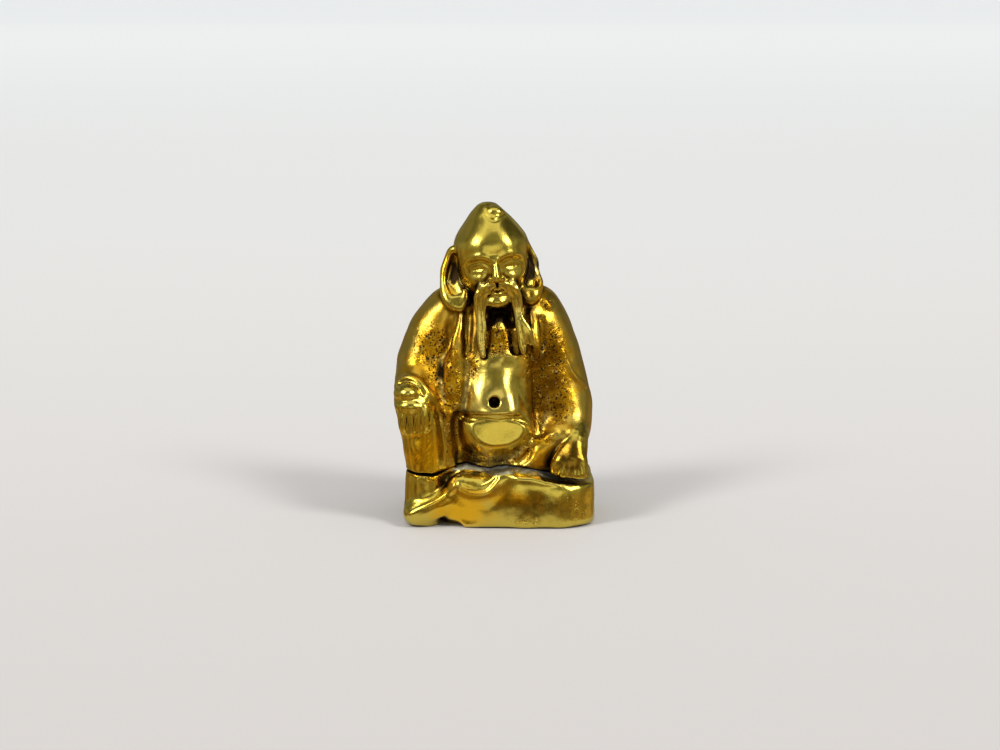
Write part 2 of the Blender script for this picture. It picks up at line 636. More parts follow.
# Grooves between the robe, the sleeves and the belly: width, height and path
GROOVES = {
    "right_armhole": (0.9, -0.6, ((-6.5, -4.5, 32.6, 0.6), (-7, -5.6, 30, 1), (-7.3, -6.2, 26, 0.7))),
    "left_armhole": (0.45, -0.7, ((7.4, -4.4, 32.4, 0.7), (7.7, -5.2, 29.5, 1), (7.4, -5.8, 26.4, 0.8))),
    "shoulder_bump": (0.6, 0.45, ((8.2, -3.4, 34.9), (8.7, -3.6, 34.2))),
    "left_flank": (0.6, -1, (
        (6.4, -6.4, 24.5, 0.6), (6.8, -6.6, 21, 1), (6.9, -6.8, 16.5, 1), (6.8, -7, 14.5, 0.5))),
    "right_flank": (0.7, -1.2, (
        (-6.2, -6.6, 17, 0.4), (-5.9, -7, 13.5, 0.7), (-5.6, -7.2, 11, 1), (-5.3, -7.4, 9.2, 1))),
    "left_lap": (0.65, -1, ((5.6, -7.4, 12.2, 0.4), (4.8, -7.8, 10.6, 1), (3.8, -7.9, 9.4, 1))),
    "cuff_hole": (0.4, -0.7, ((7.5, -6.8, 14.6), (7.7, -6.8, 14.3))),
}
for width, height, path in GROOVES.values():
    clay.stroke(path, width, height)

# The filed flat on the lower belly, and the crease above it
clay.flat(spot=(0.5, -8.85, 15.5), normal=(0.03, -1, 0.2),
          low=(-6.6, -12, 10.6), high=(7.6, -6, 17.6), edge=0.2, fade=0.5)
crease = (
    (-6, -6.6, 17.9, 0.2), (-4.2, -8.2, 17.15, 0.9), (-1, -9, 17.45, 1), (2, -9, 17.45, 1),
    (4.4, -7.8, 16.9, 1), (6, -6.6, 15.6, 0.8),
)
clay.stroke(crease, width=0.42, height=-0.75)

# The foot is undercut beside the leg
clay.carve(ball((-6.2, -13.2, 1.4), radii=(5, 3, 2.6)), fillet=0.6)
clay.carve(ball((-6.6, -10.2, -0.4), radii=(1.9, 3, 1.5)), fillet=0.5)

# Lines between the fingers
FINGER_GAPS = (-13.65, -12.55, -11.45)
LEFT_FINGER_GAPS = (13.25, 12.2, 11.15)
for gap in FINGER_GAPS:
    path = ((gap, -10.6, 18.8, 0.2), (gap, -11, 17.4, 1), (gap + 0.15, -10.9, 15.6, 0.9))
    clay.stroke(path, width=0.28, height=-0.85)
for gap in LEFT_FINGER_GAPS:
    path = ((gap, -9.9, 10.2, 0.2), (gap, -10.8, 9.4, 1), (gap - 0.1, -10.9, 8.6, 1))
    clay.stroke(path, width=0.22, height=-0.3)

# Folds and lines on the sleeves, the thumb, the foot and the leg: width, height and path
FOLDS = {
    "elbow_fold": (0.4, 0.35, ((10.9, -4.6, 27, 0.4), (12.4, -4, 23.6, 1), (14.4, -3, 21.4, 0.8))),
    "right_cuff": (0.55, 0.42, (
        (-15.6, -5.4, 22), (-14.7, -6.4, 23.2), (-13.3, -6.9, 23.6), (-11.8, -7, 23),
        (-10.4, -7.2, 21.6), (-9.3, -7.3, 20.2), (-8.1, -7.3, 18.7), (-7, -7.5, 17.5))),
    "cuff_line": (0.3, -0.3, (
        (-15.4, -7, 21.4), (-14.7, -8, 22.7), (-13.3, -8.4, 23), (-12, -8.2, 22.5),
        (-11.1, -8.2, 21.2))),
    "thumb_gap": (0.35, -0.5, ((10.2, -9.8, 10.2, 0.3), (9.95, -10.2, 9.4, 1), (9.8, -10.2, 8.7, 1))),
    "left_cuff": (0.4, 0.4, (
        (9.4, -7, 14.6, 0.5), (7.6, -7.6, 13.9, 1), (5.9, -8.2, 13, 1), (4.2, -8.6, 11.2, 0.7))),
    "foot_ridge": (0.35, 0.5, (
        (-13.2, -11, 2.3), (-11.5, -11.2, 3.2), (-9.6, -11.3, 4.1), (-7.4, -11.2, 5.5),
        (-6.1, -11.1, 6.7))),
    "leg_ridge": (0.4, 0.22, (
        (2, -10.9, 7.4, 0.7), (4, -10.9, 7.4, 1), (8.5, -10.9, 7.4, 1), (11, -10.6, 7.5, 0.4))),
    "hem_line": (0.26, -0.45, (
        (-5.2, -11, 6.6, 0.4), (-4, -11.2, 6.3, 1), (-1.7, -11.3, 6.3, 1), (0.3, -11, 7.6, 0.6))),
}
for width, height, path in FOLDS.values():
    clay.stroke(path, width, height)

# The drilled navel
navel = limb(((0, -9.9, 19.8, 0.72), (0, -7, 19.8, 0.72)))
clay.carve(navel, fillet=0.12)

# The solder joint runs round at lap height.
SEAM_DEPTH = 0.28
SEAM_WIDTH = 0.16
SEAM_WAVE = 0.05
SEAM_TURNS = 1.7
SEAM_START = 0.4
x, y, z = clay.spots((slice(None),) * 3)
wave = SEAM_WAVE * np.sin(SEAM_TURNS * x + SEAM_START)
clay.skin += (SEAM_DEPTH * np.exp(-((z - JOINT - wave) / SEAM_WIDTH)**2)).astype(np.float32)

# Soft pleats behind, which fade towards the sides, the collar and the joint
PLEAT_DEPTH = 0.4
PLEAT_SHARE = 0.3
PLEATS_AROUND = 4.5
PLEAT_START = 0.3
PLEAT_LEAN = 0.02
PLEAT_MIDDLE = -2.0
PLEAT_LEVEL = 0.25
PLEATS_FROM = 1.0
PLEATS_FADE = 3.0
PLEATS_TOP = 35.0
PLEATS_TOP_FADE = 9.0
PLEATS_LOW_FADE = 2.0
behind = np.clip((y - PLEATS_FROM) / PLEATS_FADE, 0, 1)
below_collar = np.clip((PLEATS_TOP - z) / PLEATS_TOP_FADE, 0, 1)
above_joint = np.clip((z - JOINT) / PLEATS_LOW_FADE, 0, 1)
fold = behind * below_collar * above_joint
around = np.arctan2(x - PLEAT_LEAN * z, y - PLEAT_MIDDLE)
pleat = np.abs(np.sin(PLEATS_AROUND * around + PLEAT_START))
clay.skin += (PLEAT_DEPTH * fold * (np.exp(-(pleat / PLEAT_SHARE)**2) - PLEAT_LEVEL)).astype(np.float32)

# The slight unevenness of a hand-finished casting
UNEVEN_WAVES = 9
UNEVEN_HEIGHT = 0.028
rng = np.random.default_rng(7)
for _ in range(UNEVEN_WAVES):
    way = rng.normal(size=3)
    way *= rng.uniform(0.7, 1.8) / np.linalg.norm(way)
    turn = rng.uniform(0, 2 * math.pi)
    clay.skin += (UNEVEN_HEIGHT * np.sin(way[0] * x + way[1] * y + way[2] * z + turn)).astype(np.float32)
clay.skin = np.maximum(clay.skin, np.broadcast_to(-z, clay.skin.shape))


# Skin

def cut_sections(clay):
    """The skin as one net of vertices, and for each piece the faces that close it. Neighbours share
    the vertices of the cut between them."""
    stuff = np.where(clay.skin < 0, clay.owner + 1, 0).astype(np.int8)
    corners = list(np.ndindex(2, 2, 2))
    shape = np.array(stuff.shape) - 1

    def corner(grid, c):
        return grid[c[0]:c[0] + shape[0], c[1]:c[1] + shape[1], c[2]:c[2] + shape[2]]

    mixed = np.zeros(shape, bool)
    first = corner(stuff, corners[0])
    for c in corners[1:]:
        mixed |= corner(stuff, c) != first
    cells = np.argwhere(mixed)
    number = np.full(shape, -1, np.int32)
    number[mixed] = np.arange(len(cells))
    value = np.stack([corner(clay.skin, c)[mixed] for c in corners], 1)
    kind = np.stack([corner(stuff, c)[mixed] for c in corners], 1)
    outer = (kind == 0).any(1)
    total = np.zeros((len(cells), 3))
    count = np.zeros(len(cells))
    for i, a in enumerate(corners):
        for j, b in enumerate(corners):
            if i < j and sum(abs(p - q) for p, q in zip(a, b)) == 1:
                open_edge = (kind[:, i] == 0) != (kind[:, j] == 0)
                cut_edge = (kind[:, i] != kind[:, j]) & ~outer
                gap = value[:, i] - value[:, j]
                share = np.where(open_edge, value[:, i] / np.where(gap == 0, 1, gap), 0.5)
                used = open_edge | cut_edge
                spot = np.array(a) + np.clip(share, 0, 1)[:, None] * (np.array(b) - np.array(a))
                total += spot * used[:, None]
                count += used
    spots = clay.low + clay.grain * (cells + total / np.maximum(count, 1)[:, None])
    for _ in range(SETTLE_ROUNDS):
        pull = clay.slope(spots[outer])
        depth = clay.read(clay.skin, spots[outer])
        step = -depth[:, None] * pull / np.maximum((pull**2).sum(1), LEAST_SLOPE)[:, None]
        most = SETTLE_STEP * clay.grain
        spots[outer] += np.clip(step, -most, most)
    faces = {n: [] for n in range(1, len(PIECES) + 1)}
    open_faces = []
    for axis in range(3):
        u, v = (axis + 1) % 3, (axis + 2) % 3
        behind = [slice(None)] * 3
        ahead = [slice(None)] * 3
        behind[axis], ahead[axis] = slice(0, -1), slice(1, None)
        a, b = stuff[tuple(behind)], stuff[tuple(ahead)]
        at = np.argwhere(a != b)
        inner = (at[:, u] > 0) & (at[:, v] > 0) & (at[:, u] < shape[u]) & (at[:, v] < shape[v])
        at = at[inner]
        quad = []
        for du, dv in ((1, 1), (0, 1), (0, 0), (1, 0)):
            cell = at.copy()
            cell[:, u] -= du
            cell[:, v] -= dv
            quad.append(number[cell[:, 0], cell[:, 1], cell[:, 2]])
        quad = np.stack(quad, 1)
        mine, other = a[tuple(at.T)], b[tuple(at.T)]
        open_faces += [quad[other == 0], quad[mine == 0][:, ::-1]]
        for n in faces:
            faces[n].append(quad[mine == n])
            faces[n].append(quad[other == n][:, ::-1])
    return spots, outer, np.vstack(open_faces), {n: np.vstack(f) for n, f in faces.items()}


spots, outer, skin_faces, sections = cut_sections(clay)
normals = clay.slope(spots)
normals /= np.maximum(np.linalg.norm(normals, axis=1), TINY)[:, None]


def hollow_at(reach):
    """How far the skin around a point closes in on it, from 0 in the open to 1 in a deep crack."""
    room = clay.read(clay.skin, spots + normals * reach)
    return np.clip(1 - room / reach, 0, 1)


def patch_at(patches):
    """Soft patches: rows of middle x, y, z, three half sizes and strength."""
    best = np.zeros(len(spots))
    for cx, cy, cz, rx, ry, rz, strength in patches:
        far = ((spots - (cx, cy, cz)) / (rx, ry, rz))**2
        best = np.maximum(best, strength * np.exp(-far.sum(1)))
    return best


# Where the casting skin was left, from the sleeves down to the leg
PITTED = (
    (-9.8, -5, 28.2, 2.8, 3.5, 3.4, 1), (-8.6, -6, 24, 2.2, 3, 3, 0.8),
    (-6.8, -6.5, 21, 1.7, 2.5, 7, 1.1), (-6.6, -6.5, 13, 1.2, 2.5, 4, 1),
    (0.7, -6, 29, 2.4, 3, 2.6, 1.2), (-3.4, -6.6, 25, 1.4, 2.5, 3, 0.8),
    (9.2, -5, 26, 2.2, 3.5, 5.5, 1.1), (9.6, -5, 19.4, 2.6, 3.5, 4, 1.1),
    (6, -5.6, 25, 1.6, 2.5, 3, 0.7), (7.2, -6, 19.5, 1.2, 2.5, 5, 0.9),
    (0.4, -7, 10.4, 5.5, 3, 1.8, 0.9),
    (7.4, -7.8, 13.7, 2.2, 1.6, 0.9, 1.1), (4.8, -8.4, 11.8, 1.4, 1.6, 0.9, 1.1),
    (-8.6, -9.6, 8, 2.6, 3, 0.7, 1), (-12.6, -9.6, 8.2, 1.2, 3, 0.6, 0.8),
    (12.6, -9.5, 3.2, 4.6, 4, 4, 0.52), (5, -10, 1.3, 8, 4, 1.2, 0.5),
    (-6, -3, 34.5, 1.2, 2, 1, 0.6), (8.4, -3.4, 34.4, 1, 2, 1, 0.8),
)
# Old black in the gap under the chin, the lap, the navel, the ears and between the fingers
GRIME = (
    (0.7, -4, 32.8, 2.5, 2.4, 1.2, 1.5), (-5.4, -6.4, 9.6, 0.9, 1.2, 1.4, 0.8),
    (4.6, -7, 10.2, 1.2, 1.2, 0.9, 0.8), (0, -6.7, 19.8, 0.8, 1.1, 0.8, 1.6),
    (6.6, -6, 20, 0.45, 1.6, 3.6, 0.75), (5.8, -6.4, 22.8, 0.8, 1.5, 0.3, 0.7),
    (-6.3, -1.8, 38.9, 0.75, 1.2, 2.6, 1.2), (5.6, -1, 39.8, 0.75, 1.2, 2.6, 1.2),
    *((gap, -10.3, 17.1, 0.17, 1, 1.5, 0.8) for gap in FINGER_GAPS),
)
# Amber places: shin, foot, lap, sleeves, chest, thumb, leg and ears
WARM = (
    (-11, -9, 12, 3, 4, 3.4, 1), (-5, -11, 3, 4.5, 3, 3, 1),
    (0.4, -8, 11.4, 4.5, 3, 1.8, 1), (-8.5, -5.5, 24, 4, 4, 8, 0.9),
    (8.8, -5.5, 23, 3.5, 4, 9, 0.9), (-4.5, -7.5, 21.5, 2.2, 3, 4.5, 0.7),
    (8, -8.5, 10.5, 2.6, 3, 2.4, 0.8), (2.5, -11, 5, 6, 3, 1.6, 0.7),
    (-7.4, -2, 38, 1.6, 2.5, 5, 0.8), (7.4, -2, 38, 1.6, 2.5, 5, 0.8),
)
# High places that hands rub bright: belly, forehead, knee and the top of the folded leg
RUBBED = (
    (0.6, -9, 20.5, 4.2, 3, 4.4, 1), (0.9, -9, 15.2, 4.4, 3, 2.2, 1),
    (0, -6, 45, 6, 4, 4, 1), (-13.2, -9, 20, 3, 3, 3, 0.9),
    (6, -10.5, 7.6, 9, 3, 1, 0.9),
)
# Brown tarnish on the leg, the foot, the left hand and beside the lapels
STAINED = (
    (6, -11, 3.4, 9, 3, 3.4, 0.42), (-11.2, -9.5, 5, 3, 3, 3, 0.3),
    (12, -8.8, 11.4, 3.2, 3, 3, 0.85), (-6.9, -5.5, 28.5, 1.1, 2.5, 3.6, 0.6),
    (7, -6, 21, 2.4, 3, 8, 0.9), (8.8, -5.5, 25, 2.4, 3, 7, 0.75),
    (-7.4, -6.3, 20, 1.6, 2.5, 7, 0.38), (-8.6, -6.2, 20.5, 1.8, 2.5, 3, 0.42),
    (-7.2, -6.5, 14, 1.2, 2.5, 4.5, 0.5), (9.8, -5.5, 18.5, 2, 2.5, 3.5, 0.55),
    (-10.2, -5.5, 26, 2.2, 2.5, 2, 0.4), (-12, -4, 27, 2, 3, 4, 0.34),
    (0.6, -7, 10.6, 5, 3, 1.3, 0.2),
)
# File marks on the shin, the lower belly and the foot
FILED = (
    (-9.5, -9.8, 11.6, 1.8, 2.5, 3, 1), (0.5, -8.9, 15.4, 4.5, 1.5, 2.4, 0.12),
    (-5.5, -10.5, 2.6, 3.5, 2.5, 2.2, 0.3), (-12.4, -9.5, 11.2, 1.5, 2.5, 2.8, 0.5),
)
# Rows of reach and weight for the broad hollows, and the reach of cracks and edges
RECESS_REACHES = ((0.5, 0.2), (1.0, 0.25), (1.8, 0.3), (2.5, 0.25))
RECESS_RUBBED_OFF = 0.85
CRACK_REACH = 0.45
CRACK_FAR_REACH = 1.2
CRACK_FAR_WEIGHT = 0.3
CRACK_START = 0.14
CRACK_RUBBED_OFF = 0.8
EDGE_REACH = 0.5

recess = sum(weight * hollow_at(reach) for reach, weight in RECESS_REACHES)
pitted = patch_at(PITTED)
grime = patch_at(GRIME)
warm = patch_at(WARM)
rubbed = patch_at(RUBBED)
recess = np.maximum(recess * (1 - RECESS_RUBBED_OFF * rubbed), patch_at(STAINED))
filed = patch_at(FILED)
crack = hollow_at(CRACK_REACH) + CRACK_FAR_WEIGHT * hollow_at(CRACK_FAR_REACH) - CRACK_START
crack = np.clip(crack * (1 - CRACK_RUBBED_OFF * rubbed) + grime, 0, 1)
edge = np.clip(clay.read(clay.skin, spots - normals * EDGE_REACH) / EDGE_REACH + 1, 0, 1)

# The joint wanders up and down across the front: rows of x and rise. Grey solder fills it from the shin on.
JOINT_RUN = np.array((
    (-15.5, 0.3), (-13.4, 0.3), (-9.8, -0.15), (-7.6, 0.2), (-4.6, 1.0), (-0.8, 0.5), (2.2, 1.0),
    (5.9, 0.65), (8.0, 0.0), (10.1, -0.5), (15.3, -0.8),
))
JOINT_REACH = 1.9
FRONT_FROM = -2.0
FRONT_FADE = 4.0
SOLDER_BELOW = 0.35
SOLDER_BAND = 0.4
SOLDER_FROM = 8.0
SOLDER_FADE = 2.0
SOLDER_PROUD = 0.12
in_front = np.clip((FRONT_FROM - spots[:, 1]) / FRONT_FADE, 0, 1)
band = np.exp(-((spots[:, 2] - JOINT + SOLDER_BELOW) / SOLDER_BAND)**2)
solder = in_front * band * np.clip((spots[:, 0] + SOLDER_FROM) / SOLDER_FADE, 0, 1)
LATTICE = 40
lattice = rng.uniform(-1, 1, (LATTICE,) * 3)


def speckle(wave):
    """Smooth random heights on the skin, about one hump to each wave."""
    p = spots / wave
    i = np.floor(p).astype(int)
    f = p - i
    return weighed(lattice, i, f * f * (3 - 2 * f))


# The casting skin is lumpy where it was not rubbed down, and a little wavy where it was.
FLAT_FOOT = 0.4
WAVES_RUBBED_OFF = 0.8
lumps = 0.05 * speckle(0.9) + 0.03 * speckle(0.55)
waves = 0.055 * speckle(2.1) + 0.025 * speckle(1.0)
lift = pitted * lumps + SOLDER_PROUD * solder * speckle(0.5)
lift += (1 - WAVES_RUBBED_OFF * rubbed) * waves
lift[~outer] = 0
lift[spots[:, 2] < FLAT_FOOT] = 0
spots += normals * (lift + SOLDER_PROUD * solder)[:, None]
rise = np.interp(spots[:, 0], JOINT_RUN[:, 0], JOINT_RUN[:, 1])
spots[:, 2] += in_front * rise * np.exp(-((spots[:, 2] - JOINT) / JOINT_REACH)**2)
corners = spots[skin_faces]
facing = np.cross(corners[:, 2] - corners[:, 0], corners[:, 3] - corners[:, 1])
summed = np.stack([sum(np.bincount(skin_faces[:, c], facing[:, k], len(spots)) for c in range(4))
                   for k in range(3)], 1)
normals[outer] = summed[outer] / np.maximum(np.linalg.norm(summed[outer], axis=1), TINY_AREA)[:, None]

# The seat's box places the clay in the frame, and the skin stays inside the part's box.
seat_low, seat_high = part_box("seat")
SHIFT = np.array((seat_low[0] / MM + SEAT_HALF, seat_high[1] / MM - SEAT_BACK, 0.0))
spots = np.clip(spots, np.array(cad_box[0]) / MM - SHIFT, np.array(cad_box[1]) / MM - SHIFT)
LOOKS = {"pitted": pitted, "crack": crack, "edge": edge, "recess": recess, "warm": warm, "solder": solder,
         "filed": filed}


def placed(name, data):
    made = bpy.data.objects.new(name, data)
    bpy.context.scene.collection.objects.link(made)
    return made


def section(name):
    """One closed piece of the cut skin, in metres, with the values that its material reads."""
    quads = sections[PIECES.index(name) + 1]
    used, quads = np.unique(quads, return_inverse=True)
    quads = quads.reshape(-1, 4)
    mesh = bpy.data.meshes.new(name + "_cast")
    mesh.vertices.add(len(used))
    mesh.vertices.foreach_set("co", ((spots[used] + SHIFT) * MM).astype(np.float32).ravel())
    mesh.loops.add(quads.size)
    mesh.loops.foreach_set("vertex_index", quads.astype(np.int32).ravel())
    mesh.polygons.add(len(quads))
    mesh.polygons.foreach_set("loop_start", np.arange(0, quads.size, 4, dtype=np.int32))
    mesh.polygons.foreach_set("use_smooth", np.ones(len(quads), bool))
    mesh.update(calc_edges=True)
    for key, values in LOOKS.items():
        attribute = mesh.attributes.new(key, "FLOAT", "POINT")
        attribute.data.foreach_set("value", values[used].astype(np.float32))
    mesh.normals_split_custom_set_from_vertices(normals[used].tolist())
    piece = placed(name + "_cast", mesh)
    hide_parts(name)
    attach(piece, "root")
    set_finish(piece, "cast_brass" if name in ROUGH_PIECES else "polished_brass")
    return piece


pieces = [section(name) for name in PIECES]


# Materials

# Colours of the metal, as linear shares of red, green and blue
YELLOW = (0.60, 0.465, 0.075)
AMBER = (0.74, 0.42, 0.018)
SKIN_DARK = (0.35, 0.15, 0.003)
SKIN_LIGHT = (0.56, 0.31, 0.012)
TARNISH = (0.16, 0.07, 0.003)
WORN_EDGE = (0.80, 0.62, 0.17)
FRESH_CUT = (0.98, 0.60, 0.02)
PIT_RIM = (0.85, 0.64, 0.18)
OLD_BLACK = (0.025, 0.015, 0.006)
SOLDER_GREY = (0.24, 0.25, 0.23)
# What a full share of age takes from the two bright colours
YELLOW_LOSS = (0.3, 0.3, 0.0)
AMBER_LOSS = (0.4, 0.3, 0.0)
# Humps of the noises and pits to a metre
CLOUDS = 420
PATCHES = 1100
GRAINS = 5200
BRUSH_MARKS = 2600
SCRATCHES = 3000
BIG_PITS = 1500
SMALL_PITS = 2700
# Brush marks and scratches are drawn out along Z, and the scratches of the file lie aslant.
BRUSH_DRAWN = (1.0, 1.0, 0.12)
SCRATCH_DRAWN = (1.0, 1.0, 0.06)
SCRATCH_TURN = math.radians(40)
# Full height of the bump in metres
BUMP_HEIGHT = 0.0005


def nodes_of(name):
    material = bpy.data.materials.new(name)
    material.use_nodes = True
    tree = material.node_tree
    return material, tree, tree.nodes["Principled BSDF"]


def brass(name, polish, dull, age):
    """Brass that keeps its pitted skin above a share of polish, with a roughness and a share of age."""
    material, tree, shader = nodes_of(name)

    def node(kind, **values):
        made = tree.nodes.new(kind)
        for key, value in values.items():
            setattr(made, key, value)
        return made

    def link(source, target):
        tree.links.new(source, target)

    def attribute(key):
        return node("ShaderNodeAttribute", attribute_name=key).outputs["Fac"]

    def math_node(operation, a, b):
        made = node("ShaderNodeMath", operation=operation)
        for socket, value in zip(made.inputs, (a, b)):
            if isinstance(value, (int, float)):
                socket.default_value = value
            else:
                link(value, socket)
        return made.outputs[0]

    def plus(a, b):
        return math_node("ADD", a, b)

    def less(a, b):
        return math_node("SUBTRACT", a, b)

    def times(a, b):
        return math_node("MULTIPLY", a, b)

    def most(a, b):
        return math_node("MAXIMUM", a, b)

    def span(value, low, high, out_low=0.0, out_high=1.0):
        made = node("ShaderNodeMapRange", interpolation_type="SMOOTHSTEP")
        link(value, made.inputs["Value"])
        for key, number in (("From Min", low), ("From Max", high), ("To Min", out_low), ("To Max", out_high)):
            made.inputs[key].default_value = number
        return made.outputs["Result"]

    def noise(scale, detail, drawn=(1, 1, 1), turn=0.0):
        place = node("ShaderNodeMapping", vector_type="TEXTURE")
        link(spot, place.inputs["Vector"])
        place.inputs["Rotation"].default_value = (0, turn, 0)
        place.inputs["Scale"].default_value = [1 / part for part in drawn]
        made = node("ShaderNodeTexNoise")
        link(place.outputs["Vector"], made.inputs["Vector"])
        made.inputs["Scale"].default_value = scale
        made.inputs["Detail"].default_value = detail
        made.inputs["Roughness"].default_value = 0.55
        return made.outputs["Fac"]

    def blotched(value, blotches, share):
        """The value, made uneven by a noise about its middle."""
        return plus(value, times(less(blotches, 0.5), share))

    def blend(share, a, b):
        made = node("ShaderNodeMix", data_type="RGBA")
        link(share, made.inputs["Factor"])
        for socket, value in ((made.inputs["A"], a), (made.inputs["B"], b)):
            if isinstance(value, tuple):
                socket.default_value = (*value, 1)
            else:
                link(value, socket)
        return made.outputs["Result"]

    def aged(colour, loss):
        return tuple(part - share * age for part, share in zip(colour, loss))

    def pits_of(scale, low, high, widest):
        """Round pits at random places, none where the noise is below low and widest above high."""
        cells = node("ShaderNodeTexVoronoi", feature="F1")
        link(spot, cells.inputs["Vector"])
        cells.inputs["Scale"].default_value = scale
        size = span(noise(0.7 * scale, 2), low, high, 0.0, widest)
        return span(less(size, cells.outputs["Distance"]), -0.05, 0.12)

    spot = node("ShaderNodeTexCoord").outputs["Object"]
    cut = attribute("filed")
    cloud = noise(CLOUDS, 3)
    patch = noise(PATCHES, 4)
    grain = noise(GRAINS, 3)
    brushed = noise(BRUSH_MARKS, 3, drawn=BRUSH_DRAWN)
    scratches = noise(SCRATCHES, 2, drawn=SCRATCH_DRAWN, turn=SCRATCH_TURN)
    file_marks = times(cut, span(scratches, 0.35, 0.65))

    # Pitted skin where the polishing wheel did not reach, and dirt in the pits and cracks
    rough = span(blotched(attribute("pitted"), patch, 0.7), polish, polish + 0.45)
    pits = most(pits_of(BIG_PITS, 0.43, 0.63, 0.43), pits_of(SMALL_PITS, 0.4, 0.6, 0.44))
    rims = times(less(pits_of(BIG_PITS, 0.43, 0.63, 0.62), pits), times(rough, 0.3))
    pits = times(pits, rough)
    old = span(blotched(attribute("crack"), patch, 0.5), 0.3, 0.7)
    dirt = most(old, times(pits, 0.92))

    # Colour, from the bright metal out to what lies on it
    ruddy = span(plus(blotched(attribute("warm"), cloud, 1.2), age), 0.1, 0.8)
    bright = blend(ruddy, aged(YELLOW, YELLOW_LOSS), aged(AMBER, AMBER_LOSS))
    skin = blend(span(patch, 0.3, 0.7), SKIN_DARK, SKIN_LIGHT)
    colour = blend(rough, bright, skin)
    tarnish = span(blotched(attribute("recess"), patch, 0.4), 0.2, 0.55)
    colour = blend(times(tarnish, 0.85), colour, TARNISH)
    colour = blend(times(span(attribute("edge"), 0.25, 0.6), 0.5), colour, WORN_EDGE)
    colour = blend(times(cut, 0.8), colour, FRESH_CUT)
    colour = blend(rims, colour, PIT_RIM)
    colour = blend(dirt, colour, OLD_BLACK)
    lead = times(span(plus(attribute("solder"), times(patch, 0.5)), 0.7, 1.1), 0.8)
    colour = blend(lead, colour, SOLDER_GREY)
    link(colour, shader.inputs["Base Color"])
    shader.inputs["Metallic"].default_value = 1

    gloss = plus(span(rough, 0, 1, dull, dull + 0.06), times(brushed, 0.1))
    gloss = plus(gloss, times(lead, 0.3))
    link(plus(gloss, times(dirt, 0.3)), shader.inputs["Roughness"])

    dents = times(patch, span(rough, 0, 1, 0.06, 0.24))
    dents = plus(dents, times(grain, span(rough, 0, 1, 0.015, 0.1)))
    dents = plus(dents, times(brushed, 0.03))
    dents = plus(dents, times(file_marks, 0.07))
    dents = less(dents, times(pits, 0.8))
    bump = node("ShaderNodeBump")
    bump.inputs["Strength"].default_value = 0.8
    bump.inputs["Distance"].default_value = BUMP_HEIGHT
    link(dents, bump.inputs["Height"])
    link(bump.outputs["Normal"], shader.inputs["Normal"])
    return material


finishes = {
    "polished_brass": brass("polished_brass", polish=0.34, dull=0.17, age=0.0),
    "cast_brass": brass("cast_brass", polish=0.24, dull=0.24, age=0.25),
}
for piece in pieces:
    piece.data.materials.append(finishes[piece["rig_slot"]])


# Stage, in metres

# The paper: where its fade starts and ends behind the figure, its tones there, and how soon it pales
PAPER_START = -0.12
PAPER_END = 8.0
PAPER_NEAR = (0.316, 0.299, 0.287)
PAPER_FAR = (0.965, 0.98, 0.962)
PAPER_FADE = 1.13
PAPER_BEND = 1.17
PAPER_STOPS = 20
# Only the paper round the foot shows in the brass.
FLOOR_MIDDLE = 0.0001
FLOOR_MIRRORED = 0.02
FLOOR_EDGE = 25.0
FLOOR_SIDES = 96
# The room: radius, rows of height as a share and colour, and how uneven its light is
ROOM = 5.0
ROOM_TONES = (
    (0.0, (0.46, 0.31, 0.11)), (0.45, (0.40, 0.28, 0.11)), (0.53, (0.27, 0.26, 0.18)),
    (1.0, (0.12, 0.115, 0.08)),
)
ROOM_CLOUDS = 0.42
ROOM_UNEVEN = (("From Min", 0.3), ("From Max", 0.7), ("To Min", 0.2), ("To Max", 1.8))


def axis_ramp(tree, axis, low, high, rows):
    """Colours along one axis of the object, from low to high. Rows of share and colour."""
    place = tree.nodes.new("ShaderNodeTexCoord").outputs["Object"]
    parts = tree.nodes.new("ShaderNodeSeparateXYZ")
    share = tree.nodes.new("ShaderNodeMapRange")
    ramp = tree.nodes.new("ShaderNodeValToRGB")
    tree.links.new(place, parts.inputs["Vector"])
    tree.links.new(parts.outputs[axis], share.inputs["Value"])
    share.inputs["From Min"].default_value = low
    share.inputs["From Max"].default_value = high
    tree.links.new(share.outputs["Result"], ramp.inputs["Fac"])
    stops = ramp.color_ramp.elements
    for row, (position, tone) in enumerate(rows):
        stop = stops[row] if row < 2 else stops.new(1.0)
        stop.position = position
        stop.color = (*tone, 1)
    return place, ramp.outputs["Color"]


def paper(name):
    """Matt paper that grows paler behind the figure."""
    material, tree, shader = nodes_of(name)
    rows = []
    for row in range(PAPER_STOPS):
        position = (row / (PAPER_STOPS - 1))**2
        left = math.exp(-(position * (PAPER_END - PAPER_START) / PAPER_FADE)**PAPER_BEND)
        rows.append((position, [far + (near - far) * left for near, far in zip(PAPER_NEAR, PAPER_FAR)]))
    _, colour = axis_ramp(tree, "Y", PAPER_START, PAPER_END, rows)
    tree.links.new(colour, shader.inputs["Base Color"])
    shader.inputs["Roughness"].default_value = 0.7
    shader.inputs["Specular IOR Level"].default_value = 0.2
    return material


